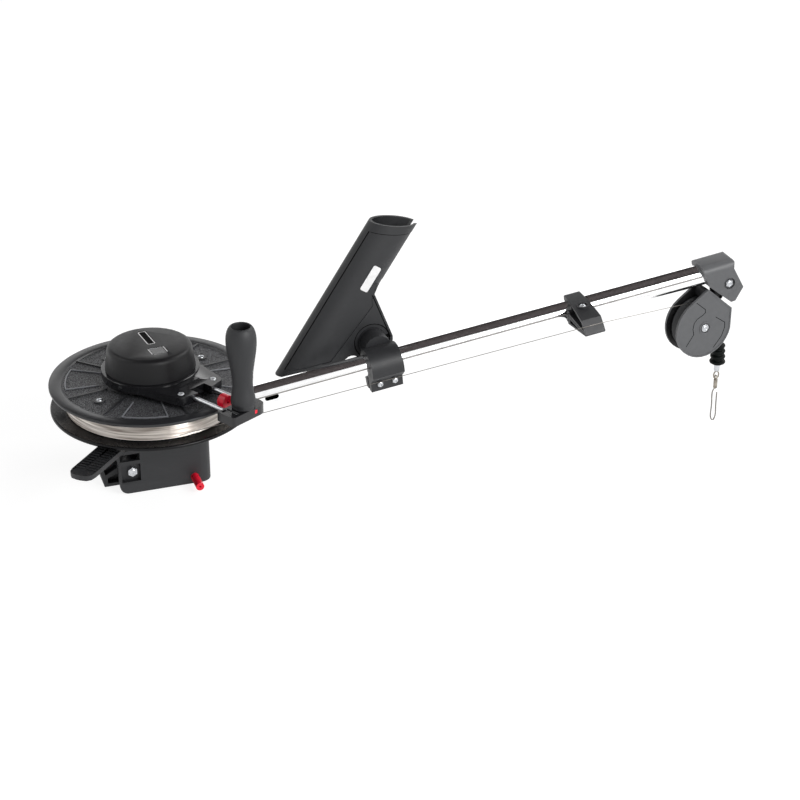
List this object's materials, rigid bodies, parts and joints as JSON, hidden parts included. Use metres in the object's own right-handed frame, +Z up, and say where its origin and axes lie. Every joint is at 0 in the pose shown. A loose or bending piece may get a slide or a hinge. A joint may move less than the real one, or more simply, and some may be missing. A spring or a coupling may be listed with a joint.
{
  "type": "manual downrigger",
  "caption": "Hand-cranked boat winch with a flat wire spool, a raised boom, a rod holder, a line guide and a swivelling pulley head over a snap for a trolling weight.",
  "frame": {"origin": "under the spool's axis on the foot's mounting face", "axes": "+X along the boom, +Z up along the spool's axis, +Y away from the crank side"},
  "size_m": [1.0221, 0.3161, 0.3731],
  "materials": {
    "black_plastic": "matte, finely pebbled",
    "grey_plastic": "satin",
    "gloss_plastic": "gloss",
    "red_plastic": "satin",
    "polished_steel": "polished",
    "zinc_steel": "bright zinc",
    "wire_steel": "stranded",
    "brass": "satin",
    "rubber": "matte",
    "clear_pane": "clear",
    "white_nylon": "satin"
  },
  "bodies": {
    "foot": {"mount_foot": "black_plastic"},
    "frame_and_boom": {"frame": "black_plastic", "spindle": "polished_steel", "boom_tube": "polished_steel", "boom_bolt": "zinc_steel", "pivot_bolt": "zinc_steel", "pivot_nut": "zinc_steel", "crank_nut": "zinc_steel", "dome_cap": "black_plastic", "counter_window": "clear_pane", "counter_shaft": "zinc_steel", "clamp_body": "black_plastic", "clamp_screw_inner": "zinc_steel", "clamp_screw_outer": "zinc_steel", "rod_holder_bolt": "zinc_steel", "guide_arm": "black_plastic", "guide_jaw": "black_plastic", "guide_bolt": "zinc_steel", "end_cap": "grey_plastic", "end_cap_bolt": "zinc_steel", "lever_screw": "zinc_steel", "wire_run": "wire_steel"},
    "lock_pin": {"lock_pin": "red_plastic"},
    "lever": {"release_lever": "black_plastic"},
    "spool": {"ratchet_wheel": "zinc_steel", "lower_flange": "black_plastic", "upper_flange": "black_plastic", "spool_core": "black_plastic", "spool_bush": "white_nylon", "wire_inner_layers": "wire_steel", "wire_winding": "wire_steel", "flange_screw_1": "zinc_steel", "flange_screw_2": "zinc_steel", "flange_screw_3": "zinc_steel", "flange_screw_4": "zinc_steel"},
    "crank": {"clutch_pad": "rubber", "crank_hub": "gloss_plastic", "arm_screw_near": "zinc_steel", "arm_screw_far": "zinc_steel"},
    "crank_extension": {"arm_rod_near": "polished_steel", "arm_rod_far": "polished_steel", "handle_plate": "gloss_plastic", "grip_bolt": "zinc_steel"},
    "button": {"release_button": "red_plastic"},
    "grip": {"grip": "black_plastic"},
    "ones_wheel": {"counter_wheel_ones": "white_nylon"},
    "tens_wheel": {"counter_wheel_tens": "white_nylon"},
    "hundreds_wheel": {"counter_wheel_hundreds": "white_nylon"},
    "rod_holder": {"rod_holder": "black_plastic"},
    "pulley_head": {"pulley_neck": "black_plastic", "pulley_cheek_near": "grey_plastic", "pulley_cheek_far": "grey_plastic", "pulley_axle": "zinc_steel", "wire_over_pulley": "wire_steel", "line_stopper": "rubber", "crimp_sleeve": "zinc_steel", "swivel_eye": "brass", "swivel_link": "brass"},
    "pulley_wheel": {"pulley_wheel": "black_plastic"},
    "snap": {"snap_hook": "zinc_steel"}
  },
  "joints": [
    {"name": "frame_tilt", "type": "hinge", "parent": "foot", "child": "frame_and_boom", "pos_m": [-0.0405, 0, 0.0323], "axis": [0, -1, 0], "range_deg": [0, 45]},
    {"name": "lock_pin_slide", "type": "slide", "parent": "frame_and_boom", "child": "lock_pin", "axis": [0, 1, 0], "range_m": [0, 0.022]},
    {"name": "lever_turn", "type": "hinge", "parent": "frame_and_boom", "child": "lever", "pos_m": [-0.02888, -0.03185, 0.0965], "axis": [0, 0, 1], "range_deg": [0, 10]},
    {"name": "spool_spin", "type": "hinge", "parent": "frame_and_boom", "child": "spool", "pos_m": [0, 0, 0.1115], "axis": [0, 0, 1], "continuous": true},
    {"name": "crank_turn", "type": "hinge", "parent": "frame_and_boom", "child": "crank", "pos_m": [0, 0, 0.1575], "axis": [0, 0, 1], "continuous": true},
    {"name": "crank_extension_slide", "type": "slide", "parent": "crank", "child": "crank_extension", "axis": [0.5, -0.866, 0], "range_m": [-0.036, 0]},
    {"name": "button_press", "type": "slide", "parent": "crank_extension", "child": "button", "axis": [0.5, -0.866, 0], "range_m": [-0.005, 0], "stiffness_N_per_m": 400},
    {"name": "grip_spin", "type": "hinge", "parent": "crank_extension", "child": "grip", "pos_m": [0.088, -0.15242, 0.22], "axis": [0, 0, 1], "continuous": true},
    {"name": "ones_wheel_turn", "type": "hinge", "parent": "frame_and_boom", "child": "ones_wheel", "pos_m": [0.00616, -0.02393, 0.185], "axis": [0.9925, 0.1219, 0], "continuous": true},
    {"name": "tens_wheel_turn", "type": "hinge", "parent": "frame_and_boom", "child": "tens_wheel", "pos_m": [0.00616, -0.02393, 0.185], "axis": [0.9925, 0.1219, 0], "continuous": true},
    {"name": "hundreds_wheel_turn", "type": "hinge", "parent": "frame_and_boom", "child": "hundreds_wheel", "pos_m": [0.00616, -0.02393, 0.185], "axis": [0.9925, 0.1219, 0], "continuous": true},
    {"name": "rod_holder_tilt", "type": "hinge", "parent": "frame_and_boom", "child": "rod_holder", "pos_m": [0.32856, 0.05, 0.13589], "axis": [0, 1, 0], "range_deg": [-40, 40]},
    {"name": "pulley_head_swivel", "type": "hinge", "parent": "frame_and_boom", "child": "pulley_head", "pos_m": [0.84896, 0.00704, 0.15801], "axis": [-0.1305, 0, 0.9914], "range_deg": [-15, 15]},
    {"name": "pulley_spin", "type": "hinge", "parent": "pulley_head", "child": "pulley_wheel", "pos_m": [0.82575, 0.0039, 0.10573], "axis": [-0.1036, 0.9945, -0.0136], "continuous": true},
    {"name": "snap_spin", "type": "hinge", "parent": "pulley_head", "child": "snap", "pos_m": [0.8635, 0.0078, -0.02], "axis": [0, 0, 1], "continuous": true}
  ],
  "couplings": [
    {"joint": "crank_turn", "follows": "spool_spin", "ratio": 1},
    {"joint": "pulley_spin", "follows": "spool_spin", "ratio": 3.0971},
    {"joint": "ones_wheel_turn", "follows": "spool_spin", "ratio": 0.24},
    {"joint": "tens_wheel_turn", "follows": "spool_spin", "ratio": 0.024},
    {"joint": "hundreds_wheel_turn", "follows": "spool_spin", "ratio": 0.0024}
  ]
}
